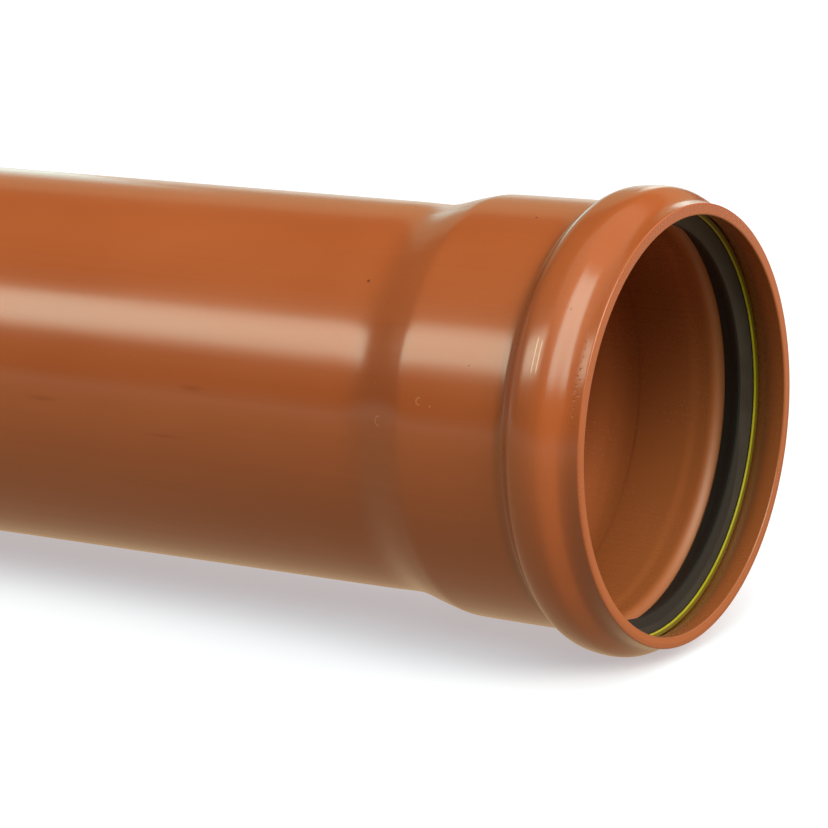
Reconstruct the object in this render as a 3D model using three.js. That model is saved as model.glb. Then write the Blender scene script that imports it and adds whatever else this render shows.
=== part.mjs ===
// Plastic (PVC-U) sewer pipe, nominal outside diameter 110 mm, with a ring-seal socket
// formed on one end. Three separate pieces:
//   pipe            one extruded length whose end is belled into a socket with a ring groove
//   seal_ring       rubber lip seal that sits in the groove
//   retaining_ring  thin plastic ring that keeps the seal in the groove
//
// Every piece is a body of revolution about the pipe's axis. Sections are written as
// [s, r] pairs in millimetres: s runs along the axis from the socket's mouth (s = 0)
// to the plain spigot end (s = LENGTH), and r is the distance from the axis.
// The pipe lies on a level floor on two places: the socket's bead and the spigot end,
// so its axis falls by about one degree from the mouth to the spigot.

import * as THREE from 'three';

// ---- driving dimensions (mm) ----------------------------------------------------------
const LAYING_LENGTH = 500;            // sold length, without the socket
const SOCKET_DEPTH = 60;              // insertion depth of the socket
const LENGTH = LAYING_LENGTH + SOCKET_DEPTH;
const R_OUT = 55.0;                   // barrel outside radius (110 mm pipe)
const WALL = 3.2;                     // barrel wall
const R_IN = R_OUT - WALL;            // barrel bore radius
const CHAMFER_LENGTH = 6;             // spigot chamfer, 15 degrees
const CHAMFER_ANGLE = 15 * Math.PI / 180;
const R_CHAMFER = R_OUT - CHAMFER_LENGTH * Math.tan(CHAMFER_ANGLE);
const SIDES = 60;                     // facets round the axis; a facet lies at the bottom

// ---- sections -------------------------------------------------------------------------
// Outside of the socket, from the mouth's end face back to the barrel: short lip, sloping
// front of the bead, rounded crest, steep rear of the bead, slightly tapered body, shoulder
// and a shallow neck where the shoulder meets the barrel.
const OUTSIDE = [
  [0, 60.45], [0.3, 60.82],
  [3.2, 61.08], [4.4, 61.34], [5.5, 61.8],
  [7.7, 63.1], [9.2, 63.95], [10.6, 64.46], [13.2, 64.78], [16.2, 64.52],
  [18.8, 63.84], [20.6, 62.75], [22.2, 61.02],
  [23.3, 60.06], [25.2, 59.56],
  [53.5, 59.2], [56, 59.02], [58.6, 58.66], [62, 57.95],
  [66.7, 56.5], [69.6, 55.68], [73, 54.98], [77.2, 54.68],
  [81.5, 54.8], [88, R_OUT],
];
// Inside of the socket, from the mouth back to the bore: lip, ring groove, rear wall of
// the groove, entry cylinder and the shoulder down to the bore.
const INSIDE = [
  [0, 57.95], [0.35, 57.62],
  [2.2, 57.72], [4, 57.97], [5.5, 58.38],
  [8.5, 60.0], [10, 60.85], [11.3, 61.37], [13, 61.65], [15, 61.6], [16.7, 61.32],
  [18, 60.6], [19, 59.5], [20, 58.5], [21, 57.78], [22.4, 57.12], [24.6, 56.62],
  [27, 56.5], [50, 56.22], [53, 56.02], [55.6, 55.5],
  [59.4, 54.25], [63.6, 52.95], [67, 52.1], [70.4, 51.6], [74.5, 51.38],
  [79, 51.5], [89, R_IN],
];
const PIPE = [
  ...OUTSIDE,
  [LENGTH - CHAMFER_LENGTH, R_OUT],
  [LENGTH, R_CHAMFER],
  [LENGTH, R_IN],
  ...INSIDE.slice().reverse(),
];

// Rubber lip seal: the lip slopes in and back to a tip just inside the spigot's radius,
// and the body fills the groove.
const SEAL = [
  [11.05, 60.92], [11.7, 61.14], [13, 61.33], [15, 61.27], [17.1, 60.6],
  [18.1, 59.85], [19.15, 58.72], [19.2, 57.9], [16.6, 56.75], [14.6, 55.05],
  [13.3, 54.5], [12.5, 54.55], [11.78, 56.8], [11.05, 59.0],
];

// Retaining ring: a thin flat collar in front of the seal, its outer edge following the groove.
const RETAINER = [
  [10.0, 60.4], [10.4, 60.66], [10.75, 60.84],
  [10.75, 59.14], [10.22, 59.18], [10.02, 59.8],
];

// ---- geometry -------------------------------------------------------------------------
// The facets are set round the nominal circle: each facet's middle is at the nominal radius.
const FACET_SCALE = 1 / Math.cos(Math.PI / SIDES);

// The lathe turns about Y. The section is laid with the mouth at the top of Y, and the
// mesh is then turned so that the axis runs along X with the mouth at +X.
function turned(section) {
  const pts = section.map(([s, r]) => new THREE.Vector2(r * FACET_SCALE, -s));
  pts.reverse();                       // anticlockwise section, so the faces point outwards
  pts.push(pts[0].clone());
  return new THREE.LatheGeometry(pts, SIDES, Math.PI / SIDES, 2 * Math.PI);
}

const materials = {
  pipe: new THREE.MeshStandardMaterial({ color: 0xb2602f, roughness: 0.38, metalness: 0 }),
  seal: new THREE.MeshStandardMaterial({ color: 0x2b2826, roughness: 0.6, metalness: 0 }),
  retainer: new THREE.MeshStandardMaterial({ color: 0xc9b713, roughness: 0.45, metalness: 0 }),
};

function piece(name, section, material) {
  const mesh = new THREE.Mesh(turned(section), material);
  mesh.name = name;
  return mesh;
}

const axisUp = new THREE.Group();     // pieces with their axis along Y
axisUp.add(piece('pipe', PIPE, materials.pipe));
axisUp.add(piece('seal_ring', SEAL, materials.seal));
axisUp.add(piece('retaining_ring', RETAINER, materials.retainer));
axisUp.rotation.z = -Math.PI / 2;     // axis along X, mouth at +X

// Resting tilt: the straight line that touches the bead and the spigot's lower edge.
const END_S = LENGTH - CHAMFER_LENGTH;
const TILT = Math.max(...OUTSIDE.filter(([s]) => s < 30)
  .map(([s, r]) => Math.atan((r - R_OUT) / (END_S - s))));
const tilted = new THREE.Group();
tilted.add(axisUp);
tilted.rotation.y = -TILT;            // raises the mouth (+X) end

// Origin: the middle of the pipe's footprint, on the floor.
const group = new THREE.Group();
group.add(tilted);
group.updateMatrixWorld(true);
const box = new THREE.Box3().setFromObject(group, true);
tilted.position.set(
  -(box.min.x + box.max.x) / 2,
  -(box.min.y + box.max.y) / 2,
  -box.min.z,
);
group.updateMatrixWorld(true);

export default group;
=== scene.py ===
import math

import bpy
import numpy as np
from mathutils import Matrix, Vector


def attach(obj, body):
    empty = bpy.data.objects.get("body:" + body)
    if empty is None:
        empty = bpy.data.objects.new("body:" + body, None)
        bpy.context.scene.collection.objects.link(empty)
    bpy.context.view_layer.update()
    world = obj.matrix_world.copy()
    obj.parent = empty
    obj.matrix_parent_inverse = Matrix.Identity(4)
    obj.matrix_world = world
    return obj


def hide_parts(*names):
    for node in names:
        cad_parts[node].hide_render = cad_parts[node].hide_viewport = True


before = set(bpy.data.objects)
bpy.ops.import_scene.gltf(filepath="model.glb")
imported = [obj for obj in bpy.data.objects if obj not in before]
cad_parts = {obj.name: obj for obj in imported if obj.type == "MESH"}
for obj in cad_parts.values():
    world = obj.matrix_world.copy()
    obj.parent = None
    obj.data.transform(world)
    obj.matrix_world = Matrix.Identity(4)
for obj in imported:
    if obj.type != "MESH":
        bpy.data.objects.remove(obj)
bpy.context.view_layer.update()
scene = bpy.context.scene

# ---------------------------------------------------------------------------------------
# Where the pipe lies. It rests on the socket's bead and on the spigot's end, so its axis
# falls by TILT from the mouth to the spigot. s runs along the axis from the mouth, in mm,
# r is the distance from the axis and phi the angle from the top towards +Y.
# ---------------------------------------------------------------------------------------
MM = 0.001
TILT = math.radians(1.03604225)
MOUTH = np.array([0.27989, 0.0, 0.065008])
AXIS = np.array([-math.cos(TILT), 0.0, -math.sin(TILT)])     # mouth -> spigot
UP = np.array([-math.sin(TILT), 0.0, math.cos(TILT)])        # away from the axis, upwards
SIDE = np.array([0.0, 1.0, 0.0])
LENGTH = 560.0
R_OUT, R_IN = 55.0, 51.8
CHAMFER = 6.0
R_TIP = R_OUT - CHAMFER * math.tan(math.radians(15))


def place(s, r, phi):
    """Points of the row frame, in metres, for s and r in mm and phi in radians."""
    s, r, phi = np.broadcast_arrays(s, r, phi)
    out = (
        MOUTH
        + MM * s[..., None] * AXIS
        + MM * (r * np.cos(phi))[..., None] * UP
        + MM * (r * np.sin(phi))[..., None] * SIDE
    )
    return out


# ---------------------------------------------------------------------------------------
# Sections
# ---------------------------------------------------------------------------------------
def monotone(points):
    """A smooth curve r(s) through the points, with no overshoot between them."""
    x, y = np.array(points, float).T
    h, d = np.diff(x), np.diff(y) / np.diff(x)
    m = np.zeros(len(x))
    for i in range(1, len(x) - 1):
        if d[i - 1] * d[i] > 0:
            w1, w2 = 2 * h[i] + h[i - 1], h[i] + 2 * h[i - 1]
            m[i] = (w1 + w2) / (w1 / d[i - 1] + w2 / d[i])
    m[0], m[-1] = d[0], d[-1]

    def curve(s):
        s = np.asarray(s, float)
        k = np.clip(np.searchsorted(x, s) - 1, 0, len(h) - 1)
        t = (s - x[k]) / h[k]
        return (
            (2 * t**3 - 3 * t**2 + 1) * y[k]
            + (t**3 - 2 * t**2 + t) * h[k] * m[k]
            + (-2 * t**3 + 3 * t**2) * y[k + 1]
            + (t**3 - t**2) * h[k] * m[k + 1]
        )

    return curve


def softened(points, low, high, sigma):
    """The curve through the points, blurred a little along s, so that no kink is left in a highlight."""
    curve = monotone(points)
    step = 0.1
    s = np.arange(low - 6 * sigma, high + 6 * sigma, step)
    r = curve(np.clip(s, points[0][0], points[-1][0]))
    before = s < points[0][0]
    if before.any():  # carry the first slope on, so that the start isn't flattened
        first = (curve(points[0][0] + 0.2) - curve(points[0][0])) / 0.2
        r[before] += first * (s[before] - points[0][0])
    half = int(round(3 * sigma / step))
    kernel = np.exp(-0.5 * (np.arange(-half, half + 1) * step / sigma) ** 2)
    kernel /= kernel.sum()
    blurred = np.convolve(r, kernel, mode="valid")
    s = s[half:-half]
    return lambda q: np.interp(q, s, blurred)


OUTSIDE = [
    (0.45, 60.92), (3.2, 61.06), (4.4, 61.30), (5.5, 61.76), (6.6, 62.40), (7.7, 63.10),
    (8.8, 63.74), (9.9, 64.26), (11.2, 64.62), (13.2, 64.78), (15.2, 64.66), (17.2, 64.34),
    (18.8, 63.84), (20.1, 63.15), (21.2, 62.15), (22.2, 61.02), (23.1, 60.2),
    (24.1, 59.73), (25.6, 59.52), (35, 59.43), (53.5, 59.2), (55.6, 59.14), (57.0, 58.97), (58.6, 58.61),
    (62, 57.78), (66.7, 56.46), (69.6, 55.70), (72.2, 55.20), (74.6, 54.93), (77.2, 54.84),
    (80.2, 54.87), (84, 54.95), (88, 55.0), (110, 55.0), (LENGTH, 55.0),
]
INSIDE = [
    (0.45, 57.62), (2.2, 57.72), (4, 57.97), (5.5, 58.38), (8.5, 60.0), (10, 60.85),
    (11.3, 61.37), (13, 61.65), (15, 61.6), (16.7, 61.32), (18, 60.6), (19.1, 59.5),
    (19.9, 58.5), (20.6, 57.66), (21.3, 57.06), (22.2, 56.72), (23.6, 56.56), (27, 56.5),
    (42, 56.38), (50, 56.22), (53, 56.02), (55.6, 55.5), (59.4, 54.25), (63.6, 52.95),
    (67, 52.1), (70.4, 51.6), (74.5, 51.38), (79, 51.5), (84, 51.74), (89, 51.8),
    (110, 51.8), (LENGTH, 51.8),
]
CREASE = [(s, r) for s, r in OUTSIDE if s < 22.5] + [
    (22.85, 60.3), (23.35, 59.84), (23.95, 59.62), (25.6, 59.5), (35, 59.43), (50.0, 59.24)]
outer_r = softened(OUTSIDE, 0.45, 120, 0.45)
tight_r = softened(CREASE, 0.45, 49, 0.22)
inner_r = softened(INSIDE, 0.45, 120, 0.45)


def arc(cs, cr, radius, start, end, count):
    """Points of a rounded edge, its angle measured from +s towards +r, in degrees."""
    a = np.radians(np.linspace(start, end, count))
    return [(cs + radius * math.cos(t), cr + radius * math.sin(t)) for t in a]


def spread(*runs):
    """s values from runs of (start, end, step)."""
    out = []
    for start, end, step in runs:
        n = max(1, round(abs(end - start) / step))
        out += list(np.linspace(start, end, n, endpoint=False))
    return out


EDGE = 0.45
outer_end = float(outer_r(EDGE))
inner_end = float(inner_r(EDGE))
outer_s = spread((0.6, 3.0, 0.4), (3.0, 20.4, 0.43), (20.4, 26.0, 0.23), (26.0, 54.0, 2.0), (54.0, 90.0, 0.85),
                 (90.0, 150.0, 5.0), (150.0, 548.0, 14.0), (548.0, 553.2, 2.6))
inner_s = spread((0.6, 3.0, 0.5), (3.0, 26.0, 0.5), (26.0, 54.0, 4.0), (54.0, 90.0, 1.2),
                 (90.0, 150.0, 12.0), (150.0, 556.0, 25.0))
section = []
section += arc(EDGE, outer_end - EDGE, EDGE, 180, 90, 6)                # mouth, outer edge
section += [(s, float(outer_r(s))) for s in outer_s]
section += arc(554.0 - 0.25, R_OUT - 2.0, 2.0, 90, 75, 4)               # start of the chamfer
section += [(557.0, 0.5 * (R_OUT - 0.1 + R_TIP)), (559.2, R_TIP + 0.2)]
section += arc(LENGTH - 0.3, R_TIP - 0.25, 0.3, 75, 0, 5)
section += [(LENGTH, R_IN + 0.6)]
section += arc(LENGTH - 0.25, R_IN + 0.25, 0.25, 0, -90, 4)
section += [(s, float(inner_r(s))) for s in reversed(inner_s)]
section += arc(EDGE, inner_end + EDGE, EDGE, 270, 180, 6)               # mouth, inner edge
section += [(0.0, inner_end + EDGE + 0.08), (0.0, outer_end - EDGE - 0.08)]


def lathe(name, points, segments, shape=None):
    """A closed turned mesh. shape(s, r, phi) may move each point's r by a little."""
    pts = np.array(points, float)
    phi = np.linspace(0, 2 * math.pi, segments, endpoint=False)
    s = np.repeat(pts[:, 0][:, None], segments, 1)
    r = np.repeat(pts[:, 1][:, None], segments, 1)
    p = np.repeat(phi[None, :], len(pts), 0)
    if shape is not None:
        r = r + shape(s, r, p)
    co = place(s, r, p).reshape(-1, 3)
    n = len(pts)
    i = np.arange(n)[:, None] * segments
    j = ((np.arange(n)[:, None] + 1) % n) * segments
    k = np.arange(segments)[None, :]
    l = (k + 1) % segments
    faces = np.stack([i + k, i + l, j + l, j + k], -1).reshape(-1, 4)
    # the section runs round the solid; turn the faces so that they look outwards
    area = 0.5 * float(np.sum(pts[:, 0] * np.roll(pts[:, 1], -1) - np.roll(pts[:, 0], -1) * pts[:, 1]))
    if area > 0:
        faces = faces[:, ::-1]
    mesh = bpy.data.meshes.new(name)
    mesh.from_pydata(co.tolist(), [], faces.tolist())
    mesh.polygons.foreach_set("use_smooth", [True] * len(mesh.polygons))
    mesh.update()
    # an unrolled map, with more room for the end that shows its details
    step = np.hypot(*(np.roll(pts, -1, 0) - pts).T) * np.where(pts[:, 0] < 95.0, 4.0, 1.0)
    v = 0.002 + 0.996 * np.concatenate([[0.0], np.cumsum(step)]) / step.sum()
    u = np.arange(segments + 1) / segments
    i, k = np.meshgrid(np.arange(n), np.arange(segments), indexing="ij")
    corners = [(u[k], v[i]), (u[k + 1], v[i]), (u[k + 1], v[i + 1]), (u[k], v[i + 1])]
    if area > 0:
        corners = corners[::-1]
    layer = mesh.uv_layers.new(name="OFBake")
    layer.data.foreach_set("uv", np.stack([np.stack(c, -1) for c in corners], 2).astype(np.float32).ravel())
    obj = bpy.data.objects.new(name, mesh)
    scene.collection.objects.link(obj)
    return obj


LATE_AT = (0.0, 15.0, 19.0, 26.0, 50.0, 58.0, 78.0, 108.0, LENGTH)
LATE_BY = (0.0, 0.0, 2.0, 2.2, 3.6, 4.6, 4.6, 0.0, 0.0)


def shape_of_pipe(s, r, p):
    """What forming leaves: the socket is very slightly wavy, and the barrel keeps faint lengthwise ridges from the die. All of it is below the nominal surface."""
    outside = r > 0.5 * (outer_r(np.clip(s, EDGE, 119)) + inner_r(np.clip(s, EDGE, 119)))
    socket = np.clip((92.0 - s) / 20.0, 0, 1) * np.clip(s / 2.0, 0, 1)
    wave = (
        0.35 * np.sin(3 * p + 0.7 + s / 38.0)
        + 0.28 * np.sin(5 * p - 1.9 - s / 21.0)
        + 0.20 * np.sin(8 * p + 2.4 + s / 13.0)
        + 0.17 * np.sin(13 * p + 0.4 - s / 17.0)
    )
    ridges = (
        0.34 * np.sin(17 * p + 1.3)
        + 0.26 * np.sin(29 * p + 4.1 + s / 900.0)
        + 0.22 * np.sin(41 * p + 0.2)
        + 0.18 * np.sin(53 * p + 2.9 - s / 700.0)
    )
    d = -0.034 * socket * (1 + wave) - 0.0045 * (1 - 0.6 * socket) * (1 + ridges)
    # over the top of the pipe the bead's back and the taper lie a little further from the mouth
    late = np.exp(2.0 * (np.cos(p - 0.26) - 1.0)) * np.interp(s, LATE_AT, LATE_BY)
    q = np.clip(s, EDGE, 119)
    d = d + np.where(outside, outer_r(np.clip(q - late, EDGE, 119)) - outer_r(q), 0.0)
    # the crease behind the bead is tighter away from the near side
    tight = 1.0 - np.exp(3.0 * (np.cos(p + 1.05) - 1.0))
    q = np.clip(q - late, EDGE, 48.0)
    d = d + np.where(outside & (s < 40.0), tight * (tight_r(q) - outer_r(q)), 0.0)
    ends = np.clip((LENGTH - s) / 4.0, 0, 1)
    return np.where(outside, d, 0.6 * -d) * ends * np.clip(s / 1.5, 0, 1)


def rounded(corners, count=5):
    """A closed section from [s, r, radius] corners, each turned into an arc, with a point beside each arc so that the flats stay flat."""
    out = []
    n = len(corners)
    for i in range(n):
        p0, p1, p2 = (np.array(corners[(i + k) % n][:2], float) for k in (-1, 0, 1))
        radius = corners[i][2]
        a, b = p0 - p1, p2 - p1
        la, lb = np.linalg.norm(a), np.linalg.norm(b)
        a, b = a / la, b / lb
        half = 0.5 * math.acos(float(np.clip(a @ b, -1, 1)))
        if radius <= 0 or half > math.radians(88):
            out.append(tuple(p1))
            continue
        t = min(radius / math.tan(half), 0.42 * la, 0.42 * lb)
        radius = t * math.tan(half)
        centre = p1 + (a + b) / np.linalg.norm(a + b) * (radius / math.sin(half))
        start, end = p1 + a * t, p1 + b * t
        u, v = start - centre, end - centre
        turn = math.acos(float(np.clip(u @ v / (np.linalg.norm(u) * np.linalg.norm(v)), -1, 1)))
        extra = min(0.25 * t, 0.05)
        out.append(tuple(start + a * extra))
        for k in range(count):
            f = k / (count - 1)
            w = (math.sin((1 - f) * turn) * u + math.sin(f * turn) * v) / math.sin(turn)
            out.append(tuple(centre + w))
        out.append(tuple(end + b * extra))
    return out


pipe = lathe("pipe_with_socket", section, 300, shape_of_pipe)

# The seal: a body that fills the groove and a lip that slopes in and back to a rounded tip.
seal_section = rounded([
    (11.05, 60.92, 0.12), (11.7, 61.14, 0.3), (13.0, 61.33, 0.6), (15.0, 61.27, 0.8),
    (17.2, 60.62, 0.8), (18.3, 59.85, 0.6), (19.35, 58.78, 0.3), (19.4, 57.9, 0.3),
    (16.6, 56.75, 1.6), (14.6, 55.05, 0.6), (13.3, 54.5, 0.20), (12.5, 54.58, 0.16),
    (11.78, 56.8, 3.0), (11.05, 59.0, 0.12),
])
seal = lathe("seal_ring_lip", seal_section, 240)

# The ring that keeps it in: a thin collar whose inner edge and sloping front show.
retainer_section = rounded([
    (9.90, 60.42, 0.06), (10.3, 60.62, 0.1), (10.75, 60.84, 0.06),
    (10.77, 59.15, 0.10), (10.40, 59.13, 0.12), (10.14, 59.72, 0.4),
])
retainer = lathe("retaining_ring_collar", retainer_section, 240)


# ---------------------------------------------------------------------------------------
# Materials
# ---------------------------------------------------------------------------------------
class Graph:
    """Short names for making shader nodes."""

    def __init__(self, tree):
        self.tree = tree

    def put(self, socket, value):
        if isinstance(value, bpy.types.NodeSocket):
            self.tree.links.new(value, socket)
        elif isinstance(value, (tuple, list)) and len(value) == 3 and socket.type == "RGBA":
            socket.default_value = (*value, 1.0)
        else:
            socket.default_value = value

    def node(self, kind, values=None, **props):
        n = self.tree.nodes.new(kind)
        for key, value in props.items():
            setattr(n, key, value)
        for key, value in (values or {}).items():
            self.put(n.inputs[key], value)
        return n

    def math(self, op, a, b=None, clamp=False):
        n = self.node("ShaderNodeMath", {0: a}, operation=op, use_clamp=clamp)
        if b is not None:
            self.put(n.inputs[1], b)
        return n.outputs[0]

    def vector(self, op, a, b=None):
        n = self.node("ShaderNodeVectorMath", {0: a}, operation=op)
        if b is not None:
            self.put(n.inputs[1], b)
        return n.outputs["Value" if op in ("LENGTH", "DISTANCE", "DOT_PRODUCT") else "Vector"]

    def scaled(self, v, scale):
        return self.vector("MULTIPLY", v, scale)

    def join(self, x, y, z):
        return self.node("ShaderNodeCombineXYZ", {0: x, 1: y, 2: z}).outputs[0]

    def apart(self, v):
        return self.node("ShaderNodeSeparateXYZ", {0: v}).outputs

    def noise(self, v, scale=1.0, detail=2.0, rough=0.5, distort=0.0):
        n = self.node(
            "ShaderNodeTexNoise",
            {"Vector": v, "Scale": scale, "Detail": detail, "Roughness": rough, "Distortion": distort},
        )
        return n.outputs["Fac"]

    def ramp(self, x, a, b, to_a=0.0, to_b=1.0, soft=True):
        n = self.node(
            "ShaderNodeMapRange",
            {"Value": x, "From Min": a, "From Max": b, "To Min": to_a, "To Max": to_b},
            interpolation_type="SMOOTHSTEP" if soft else "LINEAR",
        )
        return n.outputs[0]

    def blend(self, factor, a, b, mode="MIX"):
        n = self.node("ShaderNodeMix", data_type="RGBA", blend_type=mode)
        self.put(n.inputs[0], factor)
        self.put(n.inputs[6], a)
        self.put(n.inputs[7], b)
        return n.outputs[2]

    def bump(self, height, distance, normal=None, strength=1.0):
        n = self.node("ShaderNodeBump", {"Strength": strength, "Distance": distance, "Height": height})
        if normal is not None:
            self.put(n.inputs["Normal"], normal)
        return n.outputs["Normal"]


def material(name, **constants):
    mat = bpy.data.materials.new(name)
    mat.use_nodes = True
    tree = mat.node_tree
    tree.nodes.clear()
    g = Graph(tree)
    out = g.node("ShaderNodeOutputMaterial")
    shader = g.node("ShaderNodeBsdfPrincipled")
    tree.links.new(shader.outputs[0], out.inputs["Surface"])
    for key, value in constants.items():
        g.put(shader.inputs[key.replace("_", " ")], value)
    return mat, g, shader


def pipe_space(g):
    """Coordinates in mm that follow the pipe: along is s, around is seamless and has the same scale at every radius, solid is plain 3-D."""
    here = g.node("ShaderNodeTexCoord").outputs["Object"]
    off = g.vector("SUBTRACT", here, tuple(MOUTH))
    solid = g.node(
        "ShaderNodeMapping",
        {"Vector": off, "Rotation": (0.0, TILT, 0.0), "Scale": (1000.0, 1000.0, 1000.0)},
    ).outputs[0]
    x, y, z = g.apart(solid)
    s = g.math("MULTIPLY", x, -1.0)
    r = g.vector("LENGTH", g.join(0.0, y, z))
    k = g.math("DIVIDE", 57.0, r)
    around = g.join(s, g.math("MULTIPLY", y, k), g.math("MULTIPLY", z, k))
    return s, r, around, solid


def at(s, phi, r):
    """Where a mark at s mm and phi degrees lies in the solid coordinates."""
    a = math.radians(phi)
    return (-s, r * math.sin(a), r * math.cos(a))


# --- the pipe's plastic ---
plastic, g, shader = material("orange_brown_pvc", IOR=1.53)
s, r, around, solid = pipe_space(g)
x, y, z = g.apart(solid)
outwards = g.vector("DOT_PRODUCT", g.node("ShaderNodeTexCoord").outputs["Normal"], g.join(0.0, y, z))
inside = g.ramp(g.math("DIVIDE", outwards, r), 0.10, -0.30)

# wide clouds in the colour, lengthwise streaks from the die and a fine grain
clouds = g.noise(g.scaled(around, (0.012, 0.026, 0.026)), 1.0, 2.0, 0.55)
streaks = g.noise(g.scaled(around, (0.007, 0.62, 0.62)), 1.0, 3.0, 0.62)
grain = g.noise(solid, 1.5, 1.0, 0.6)

colour = g.blend(g.ramp(clouds, 0.3, 0.7), (0.322, 0.0735, 0.0200), (0.350, 0.0830, 0.0235))
skin = g.math("MULTIPLY", g.ramp(s, 0.25, 1.2), g.ramp(inside, 0.0, 1.0, 1.0, 0.45))
colour = g.blend(g.math("MULTIPLY", skin, g.ramp(streaks, 0.30, 0.44, 0.30, 0.0)), colour, (0.300, 0.0670, 0.0180))
colour = g.blend(g.math("MULTIPLY", skin, g.ramp(streaks, 0.58, 0.72, 0.0, 0.26)), colour, (0.362, 0.0875, 0.0260))
colour = g.blend(g.ramp(grain, 0.3, 0.7, 0.0, 0.12), colour, (0.290, 0.0630, 0.0170))
# the inner surfaces are painted darker than the outside, a painted shade over the bore
colour = g.blend(g.math("MULTIPLY", inside, 0.85), colour, (0.242, 0.0690, 0.0218))


def mark(s0, phi, r0, size, soft=0.45, stretch=None):
    """1 inside a round mark, 0 outside. stretch makes it longer along the pipe."""
    d = g.vector("SUBTRACT", solid, at(s0, phi, r0))
    if stretch:
        d = g.scaled(d, (1.0 / stretch, 1.0, 1.0))
    return g.ramp(g.vector("LENGTH", d), size, size * soft)


def ring_mark(s0, phi, r0, size, width):
    """A little ring that fades out towards the mouth, such as the scar of a trapped grain. Its fade is a painted
    highlight, brighter on the side away from the mouth.
    """
    d = g.vector("LENGTH", g.vector("SUBTRACT", solid, at(s0, phi, r0)))
    off = g.math("ABSOLUTE", g.math("SUBTRACT", d, size))
    return g.math("MULTIPLY", g.ramp(off, width, 0.0), g.ramp(s, s0 - 0.7 * size, s0 + 0.1 * size))


def total(items):
    out = items[0]
    for item in items[1:]:
        out = g.math("MAXIMUM", out, item)
    return out


dark_specks = total([
    mark(78.6, -43.5, 54.8, 0.60), mark(38.0, -16.0, 59.4, 0.50), mark(36.5, -67.0, 59.4, 0.40),
    mark(300.0, 61, 55.0, 0.6), mark(421.0, -149, 55.0, 0.5), mark(30.0, 118, 59.5, 0.55),
])
colour = g.blend(g.math("MULTIPLY", dark_specks, 0.8), colour, (0.050, 0.014, 0.007))
light_specks = total([
    mark(147.7, -59, 55.0, 0.32), mark(147.1, -74, 55.0, 0.3), mark(154.3, -92, 55.0, 0.34),
    mark(84.3, -98, 54.9, 0.3), mark(66.1, -74, 56.7, 0.3), mark(97.0, -107, 55.0, 0.28),
])
colour = g.blend(g.math("MULTIPLY", light_specks, 0.35), colour, (0.46, 0.17, 0.08))
scars = total([
    ring_mark(63.75, -84.0, 57.53, 1.30, 0.38), ring_mark(50.25, -77.5, 59.30, 0.95, 0.40),
    mark(46.75, -78.5, 59.34, 0.45),
])
# pale scar rings: real marks, with a painted highlight on their side away from the mouth
colour = g.blend(g.math("MULTIPLY", scars, 0.55), colour, (0.50, 0.20, 0.10))
smears = total([
    mark(126.8, -81.3, 55.0, 1.4, 0.0, 4.2), mark(179.0, -89.5, 55.0, 1.4, 0.0, 6.5),
    mark(137.0, -96.5, 55.0, 0.8, 0.0, 12.0), mark(243.0, -53.0, 55.0, 1.5, 0.0, 7.0),
    mark(390.0, 96.0, 55.0, 1.9, 0.0, 6.0), mark(498.0, -24.0, 55.0, 1.7, 0.0, 5.0),
])
colour = g.blend(g.math("MULTIPLY", smears, 0.38), colour, (0.185, 0.035, 0.008))


pits = total([
    mark(2.7, -58.0, 61.0, 0.42), mark(2.4, -60.0, 61.0, 0.34), mark(2.3, -62.0, 61.0, 0.40),
    mark(2.6, -63.5, 61.0, 0.36), mark(2.2, -65.3, 61.0, 0.44), mark(2.6, -67.0, 61.0, 0.36),
    mark(1.8, -68.0, 60.9, 0.42), mark(2.7, -69.2, 61.0, 0.34), mark(2.8, -70.4, 61.0, 0.40),
    mark(2.0, -71.6, 61.0, 0.36), mark(2.7, -72.8, 61.0, 0.44), mark(2.4, -74.8, 61.0, 0.36),
    mark(2.5, -76.8, 61.0, 0.40), mark(2.1, -79.5, 61.0, 0.34), mark(8.5, -51.0, 63.6, 0.36),
    mark(11.4, -47.5, 64.6, 0.30),
])
# the pits are painted darker, a painted shade inside them
colour = g.blend(g.math("MULTIPLY", pits, 0.40), colour, (0.150, 0.0300, 0.0080))


def scuff(s0, width, phi, length):
    """A thin mark round the crest, phi degrees from the top and so many mm long."""
    line = g.ramp(g.math("ABSOLUTE", g.math("SUBTRACT", s, s0)), width, 0.35 * width)
    return g.math("MULTIPLY", line, mark(s0, phi, 64.75, 0.5 * length, 0.7))


scuffs_and_glints = total([
    scuff(14.5, 0.21, -63.6, 11.5), scuff(13.1, 0.18, -64.0, 10.0),
])
# the crest's thin marks are painted near white: a painted glint on real marks
colour = g.blend(g.math("MULTIPLY", scuffs_and_glints, 0.7), colour, (0.82, 0.62, 0.50))
# painted shade: the body is painted darker in the crease behind the bead
crease = g.math("MULTIPLY", g.ramp(s, 27.6, 25.4), g.ramp(s, 22.0, 23.4))
crease = g.math("MULTIPLY", crease, g.math("GREATER_THAN", r, 58.4))
colour = g.blend(g.math("MULTIPLY", crease, 0.28), colour, (0.110, 0.0360, 0.0140))

# painted shade: the outside of the lip is painted darker on its lower side
painted_low_lip_shade = g.math("MULTIPLY", g.ramp(s, 6.6, 5.0), g.math("GREATER_THAN", r, 59.5))
painted_low_lip_shade = g.math("MULTIPLY", painted_low_lip_shade, g.ramp(g.math("DIVIDE", z, r), 0.28, -0.12))
colour = g.blend(g.math("MULTIPLY", painted_low_lip_shade, 0.62), colour, (0.215, 0.0480, 0.0150))
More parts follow.
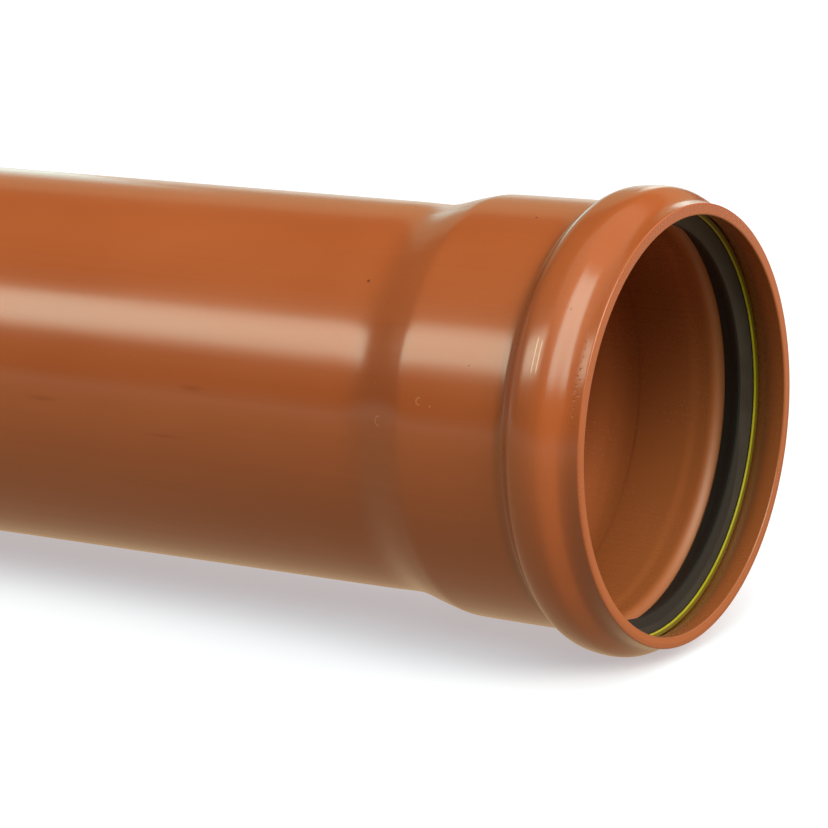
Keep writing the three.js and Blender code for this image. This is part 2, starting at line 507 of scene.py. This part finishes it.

# inside the socket, painted light and shade; the moulded edges of the mouth and the sawn end are a little paler than
# the skin
# painted light: the inner cone behind the socket is painted paler where it faces the mouth
painted_cone_light = g.math("MULTIPLY", inside, g.math("MULTIPLY", g.ramp(s, 47.0, 53.5), g.ramp(s, 74.0, 66.0)))
colour = g.blend(g.math("MULTIPLY", painted_cone_light, 0.75), colour, (0.370, 0.1060, 0.0360))
# painted light: a lighter band round the inside of the socket near s 28 mm
painted_light_band = g.math("MULTIPLY", inside, g.ramp(g.math("ABSOLUTE", g.math("SUBTRACT", s, 28.4)), 2.2, 0.3))
colour = g.blend(g.math("MULTIPLY", painted_light_band, 0.35), colour, (0.370, 0.1060, 0.0360))
# painted highlight: the inner edge behind the groove is painted paler, and it is also made rougher
painted_lit_groove_edge = g.math("MULTIPLY", inside, g.math("MULTIPLY", g.ramp(s, 18.6, 20.0), g.ramp(s, 24.2, 21.8)))
colour = g.blend(g.math("MULTIPLY", painted_lit_groove_edge, 0.45), colour, (0.385, 0.1080, 0.0330))
# painted shade: a dark line at the small step inside the socket
painted_step_shade = g.math("MULTIPLY", inside, g.ramp(g.math("ABSOLUTE", g.math("SUBTRACT", s, 46.5)), 0.8, 0.1))
colour = g.blend(g.math("MULTIPLY", painted_step_shade, 0.30), colour, (0.150, 0.0380, 0.0140))
mouth_edge = g.ramp(s, 0.55, 0.15)
sawn = g.ramp(s, 553.6, 554.3)
colour = g.blend(g.math("MULTIPLY", mouth_edge, 0.20), colour, (0.380, 0.1000, 0.0310))
colour = g.blend(g.math("MULTIPLY", sawn, 0.45), colour, (0.395, 0.1090, 0.0370))
g.put(shader.inputs["Base Color"], colour)

rough = g.ramp(clouds, 0.3, 0.7, 0.180, 0.215)
rough = g.math("ADD", rough, g.math("MULTIPLY", skin, g.ramp(streaks, 0.35, 0.7, -0.012, 0.022)))
rough = g.math("ADD", rough, g.ramp(grain, 0.35, 0.75, 0.0, 0.020))
rough = g.math("ADD", rough, g.math("MULTIPLY", inside, 0.06))
rough = g.math("ADD", rough, g.math("MULTIPLY", painted_lit_groove_edge, 0.22))
rough = g.math("ADD", rough, g.math("MULTIPLY", sawn, 0.24))
rough = g.math("ADD", rough, g.math("MULTIPLY", mouth_edge, 0.08))
rough = g.math("SUBTRACT", rough, g.math("MULTIPLY", smears, 0.04))
g.put(shader.inputs["Roughness"], rough)


def height(mask, amount, below=None):
    """Adds a relief of so many micrometres to the one below it."""
    h = g.math("MULTIPLY", mask, amount * 1e-6)
    return h if below is None else g.math("ADD", below, h)


# relief in micrometres: extrusion lines, orange peel, forming rings on the socket, pits on
# the lip, thin scuffs on the crest, two scars, and the saw's marks
drawn = g.math("MULTIPLY", skin, g.ramp(inside, 0.0, 1.0, 1.0, 0.12))
relief = height(g.math("MULTIPLY", streaks, drawn), 4.0)
relief = height(g.math("MULTIPLY", g.noise(around, 0.42, 2.0, 0.55), skin), 6.0, relief)
relief = height(g.math("MULTIPLY", g.noise(solid, 0.8, 2.0, 0.55), g.ramp(s, 1.2, 0.25)), 0.7, relief)
rings = g.noise(g.scaled(around, (1.9, 0.030, 0.030)), 1.0, 2.0, 0.55)
in_socket = g.math("MULTIPLY", g.ramp(s, 30.0, 22.0), g.ramp(s, 0.6, 3.0))
relief = height(g.math("MULTIPLY", rings, g.math("ADD", in_socket, g.math("MULTIPLY", sawn, 6.0))), 4.5, relief)
pocks = g.ramp(g.noise(around, 1.25, 2.0, 0.5), 0.40, 0.31)
lip_zone = g.math("MULTIPLY", g.ramp(s, 1.0, 1.6), g.ramp(s, 4.2, 3.2))
lip_zone = g.math("MULTIPLY", lip_zone, g.math("GREATER_THAN", r, 59.5))
relief = height(g.math("MULTIPLY", pocks, lip_zone), -16.0, relief)
relief = height(pits, -34.0, relief)
step = g.math("MULTIPLY", inside, g.ramp(g.math("ABSOLUTE", g.math("SUBTRACT", s, 46.5)), 0.9, 0.0))
relief = height(step, -26.0, relief)
relief = height(scuffs_and_glints, 18.0, relief)
relief = height(light_specks, 35.0, relief)
relief = height(scars, 8.0, relief)
g.put(shader.inputs["Normal"], g.bump(relief, 1.0))

# --- the seal's rubber ---
rubber, g, shader = material("black_rubber", IOR=1.5, Specular_Tint=(1.0, 0.86, 0.84, 1.0))
s, r, around, solid = pipe_space(g)
bloom = g.noise(g.scaled(around, (0.2, 0.05, 0.05)), 1.0, 2.0, 0.6)
fine = g.noise(solid, 1.6, 2.0, 0.6)
colour = g.blend(g.ramp(bloom, 0.3, 0.7), (0.0165, 0.0140, 0.0125), (0.0240, 0.0205, 0.0182))
colour = g.blend(g.ramp(fine, 0.45, 0.75, 0.0, 0.4), colour, (0.031, 0.028, 0.025))
# painted shade: the seal's tip and the back of its lip are painted near black, over a wider band on the low side, and
# that band is rougher
low_side = g.ramp(g.math("DIVIDE", g.apart(solid)[2], r), -0.10, -0.65)
tip_r = g.math("SUBTRACT", r, g.math("MULTIPLY", low_side, 1.9))
tip_s = g.math("ADD", s, g.math("MULTIPLY", low_side, 1.3))
tip = g.math("MULTIPLY", g.ramp(tip_r, 55.6, 54.9), g.ramp(tip_s, 12.2, 12.8))
tip = g.math("MAXIMUM", tip, g.ramp(s, 12.9, 13.6))
colour = g.blend(g.math("MULTIPLY", tip, 0.85), colour, (0.006, 0.0050, 0.0043))
g.put(shader.inputs["Base Color"], colour)
rough = g.math("ADD", g.ramp(bloom, 0.3, 0.7, 0.46, 0.58), g.math("MULTIPLY", tip, 0.25))
g.put(shader.inputs["Roughness"], g.math("ADD", rough, g.ramp(fine, 0.3, 0.7, -0.03, 0.05)))
relief = height(g.noise(around, 1.1, 2.0, 0.55), 12.0)
relief = height(g.noise(g.scaled(around, (3.0, 0.05, 0.05)), 1.0, 1.0), 0.8, relief)
g.put(shader.inputs["Normal"], g.bump(relief, 1.0))

# --- the retaining ring's plastic ---
yellow, g, shader = material("yellow_polypropylene", IOR=1.49)
s, r, around, solid = pipe_space(g)
tint = g.noise(g.scaled(around, (0.3, 0.06, 0.06)), 1.0, 2.0, 0.6)
fine = g.noise(solid, 2.2, 1.0, 0.6)
colour = g.blend(g.ramp(tint, 0.3, 0.7), (0.31, 0.262, 0.0050), (0.37, 0.310, 0.0072))
colour = g.blend(g.ramp(fine, 0.45, 0.8, 0.0, 0.35), colour, (0.27, 0.225, 0.0045))
# painted shade: the sloping front of the ring, in the lip's shadow, is painted dark olive
front = g.ramp(s, 10.32, 10.16)
colour = g.blend(g.math("MULTIPLY", front, 0.94), colour, (0.105, 0.0740, 0.0040))
g.put(shader.inputs["Base Color"], colour)
g.put(shader.inputs["Roughness"], g.ramp(tint, 0.3, 0.7, 0.34, 0.44))
g.put(shader.inputs["Normal"], g.bump(height(g.noise(around, 1.3, 2.0, 0.5), 10.0), 1.0))

for piece, mat, node, slot in (
    (pipe, plastic, "pipe", "pipe_plastic"),
    (seal, rubber, "seal_ring", "seal_rubber"),
    (retainer, yellow, "retaining_ring", "retainer_plastic"),
):
    piece.data.materials.append(mat)
    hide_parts(node)
    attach(piece, "root")

# ---------------------------------------------------------------------------------------
# Floor, light and camera
# ---------------------------------------------------------------------------------------
ring = 96
rim = [(40 * math.cos(2 * math.pi * k / ring), 40 * math.sin(2 * math.pi * k / ring), 0.0) for k in range(ring)]
floor_mesh = bpy.data.meshes.new("studio_floor")
floor_mesh.from_pydata(rim, [], [list(range(ring))])
floor = bpy.data.objects.new("studio_floor", floor_mesh)
scene.collection.objects.link(floor)
# The floor is pale paper. To the camera it is lit by the lamps and also glows evenly. To all other rays it has no
# colour of its own and only glows, a painted bounce light: warmer and dimmer than what the camera sees, warmest close
# to the pipe for mirrored rays, and with a brighter painted patch behind the pipe for the rest.
paper, g, shader = material("pale_paper", Roughness=0.95, Specular_IOR_Level=0.0)
seen = g.node("ShaderNodeLightPath").outputs["Is Camera Ray"]
mirrored = g.node("ShaderNodeLightPath").outputs["Is Glossy Ray"]
here = g.node("ShaderNodeTexCoord").outputs["Object"]
away = g.ramp(g.vector("LENGTH", here), 0.3, 1.4)
across, behind, _ = g.apart(here)
window = g.ramp(g.math("ADD", across, g.math("MULTIPLY", behind, 0.64)), -0.5, 0.3)
window = g.math("MULTIPLY", window, g.ramp(behind, 0.7, 1.6))
shine = g.blend(window, (0.41, 0.31, 0.15), (1.0, 1.08, 1.0))
bounce = g.blend(mirrored, shine, g.blend(away, (0.70, 0.52, 0.31), (0.86, 0.82, 0.72)))
fibre = g.noise(here, 60.0, 3.0, 0.6)
sheet = g.blend(fibre, (0.455, 0.460, 0.560), (0.465, 0.470, 0.570))
g.put(shader.inputs["Base Color"], g.blend(seen, (0.0, 0.0, 0.0), sheet))
g.put(shader.inputs["Emission Color"], g.blend(seen, bounce, (0.43, 0.43, 0.44)))
shader.inputs["Emission Strength"].default_value = 1.0
floor.data.materials.append(paper)

KEY = (1.0, 1.0, 0.89)


def ray_to(azimuth, elevation):
    """The direction of a light: azimuth 0 is -Y and 90 is +X, in degrees."""
    a, e = math.radians(azimuth), math.radians(elevation)
    return Vector((math.sin(a) * math.cos(e), -math.cos(a) * math.cos(e), math.sin(e)))


def add_light(name, data):
    obj = bpy.data.objects.new(name, data)
    obj.visible_camera = False
    scene.collection.objects.link(obj)
    return obj


def softbox(name, azimuth, elevation, spread_deg, level, tint=KEY, mirrored=True):
    """A far round softbox, so wide that its shadows are soft. level is the light it gives a face turned to it, where 1 shows a white face as white. One that isn't mirrored stands for bounced light, too wide to show as a highlight."""
    data = bpy.data.lights.new(name, "SUN")
    data.angle = math.radians(spread_deg)
    data.energy = math.pi * level
    data.color = tint
    obj = add_light(name, data)
    obj.visible_glossy = mirrored
    way = ray_to(azimuth, elevation)
    obj.location = way * 4.0
    obj.rotation_mode = "QUATERNION"
    obj.rotation_quaternion = (-way).to_track_quat("-Z", "Y")


def panel(name, centre, facing, across, width, height_, glow, tint):
    """A flat softbox. glow is how bright it looks, where 1 is white; across is the direction of its width."""
    data = bpy.data.lights.new(name, "AREA")
    data.shape = "RECTANGLE"
    data.size, data.size_y = width, height_
    data.energy = math.pi * width * height_ * glow
    data.color = tint
    z = -Vector(facing).normalized()
    x = (Vector(across) - z * z.dot(Vector(across))).normalized()
    y = z.cross(x)
    obj = add_light(name, data)
    obj.matrix_world = Matrix.Translation(centre) @ Matrix((x, y, z)).transposed().to_4x4()
    return obj


def strip(name, x0, x1, roll_deg, spread_deg, glow, tint):
    """A long softbox beside the pipe, from x0 to x1, at roll_deg over the floor as seen along the pipe."""
    far = 4.0
    roll = math.radians(roll_deg)
    outward = Vector((0.0, -math.cos(roll), math.sin(roll)))
    centre = Vector((0.5 * (x0 + x1), 0.0, 0.06)) + far * outward
    return panel(name, centre, -outward, (1, 0, 0), x1 - x0, 2 * far * math.tan(math.radians(spread_deg / 2)), glow, tint)


softbox("key", 79, 36, 34, 0.86, (1.0, 0.87, 0.64))
softbox("top", 80, 70, 96, 0.34, (0.90, 1.0, 0.78))
softbox("fill_high", -20, 62, 60, 0.24, (0.92, 1.0, 0.84), False)
softbox("right_low", 88, 4, 50, 0.18, (1.0, 0.80, 0.60), False)
softbox("rear", 175, 58, 50, 0.16, (1.0, 0.92, 0.72), False)
softbox("rear_right", 150, 30, 40, 0.12)
softbox("left_bounce", -80, 25, 60, 0.10, (1.0, 0.95, 0.9), False)
strip("strip", -5.1, -1.4, 40.8, 21.5, 6.3, (0.90, 1.0, 0.79)).visible_diffuse = False
strip("strip_end", -1.4, 1.2, 35.0, 20.0, 0.3, (0.9, 1.0, 1.0))
strip("strip_right", 1.50, 3.05, 44.0, 36.0, 5.5, (0.74, 1.0, 0.86))
strip("strip_near", 1.50, 2.20, 44.0, 36.0, 3.2, (0.64, 1.0, 0.84))
strip("strip_upper", 1.35, 2.75, 73.0, 22.0, 5.5, (0.74, 1.0, 0.86))
panel("backdrop_low", Vector((-4.2, 4.49, 0.55)), Vector((0.5, -0.85, 0)), (0.85, 0.5, 0), 5.2, 1.0, 1.0, (0.85, 1.0, 0.85))
panel("backdrop", Vector((-3.0, 5.2, 2.6)), Vector((0.5, -0.85, -0.2)), (0.85, 0.5, 0), 8.0, 3.05, 0.44, (1.0, 0.92, 0.5))
panel("back_window", Vector((-1.84, 4.3, 1.25)), Vector((0.1, -1, 0)), (1, 0, 0), 0.5, 1.25, 1.6, (0.8, 1.0, 0.95))

panel("back_left", Vector((-3.41, 3.66, 0.80)), Vector((0.682, -0.731, 0)), (1, 0, 0), 1.18, 1.5, 0.90, (0.55, 1.0, 1.0)).visible_diffuse = False
panel("left_window", Vector((-6.0, 0.0, 1.0)), Vector((1, 0, 0)), (0, 1, 0), 4.0, 2.0, 0.40, (1.0, 0.97, 0.90))

world = bpy.data.worlds.new("studio")
scene.world = world
world.use_nodes = True
world.node_tree.nodes.clear()
g = Graph(world.node_tree)
seen = g.node("ShaderNodeLightPath").outputs["Is Camera Ray"]
room = g.blend(seen, (0.024, 0.024, 0.040), (1.0, 1.0, 1.0))
background = g.node("ShaderNodeBackground", {"Color": room, "Strength": 1.0})
out = g.node("ShaderNodeOutputWorld")
world.node_tree.links.new(background.outputs[0], out.inputs["Surface"])

camera_data = bpy.data.cameras.new("camera")
camera_data.lens = 161.194
camera_data.sensor_width = 36.0
camera_data.clip_start = 0.02
camera_data.clip_end = 200.0
camera = bpy.data.objects.new("camera", camera_data)
right = Vector((0.84596909, 0.53323194, 0.0))
down = Vector((0.11659703, -0.18498045, -0.97580088))
forward = Vector((-0.5203282, 0.82549738, -0.218661))
turn = Matrix((right, -down, -forward)).transposed()
camera.matrix_world = Matrix.Translation((0.74028873, -0.87077285, 0.28863909)) @ turn.to_4x4()
scene.collection.objects.link(camera)
scene.camera = camera

scene.view_settings.view_transform = "Standard"
scene.view_settings.look = "None"
scene.view_settings.exposure = 0.0
scene.view_settings.gamma = 1.0
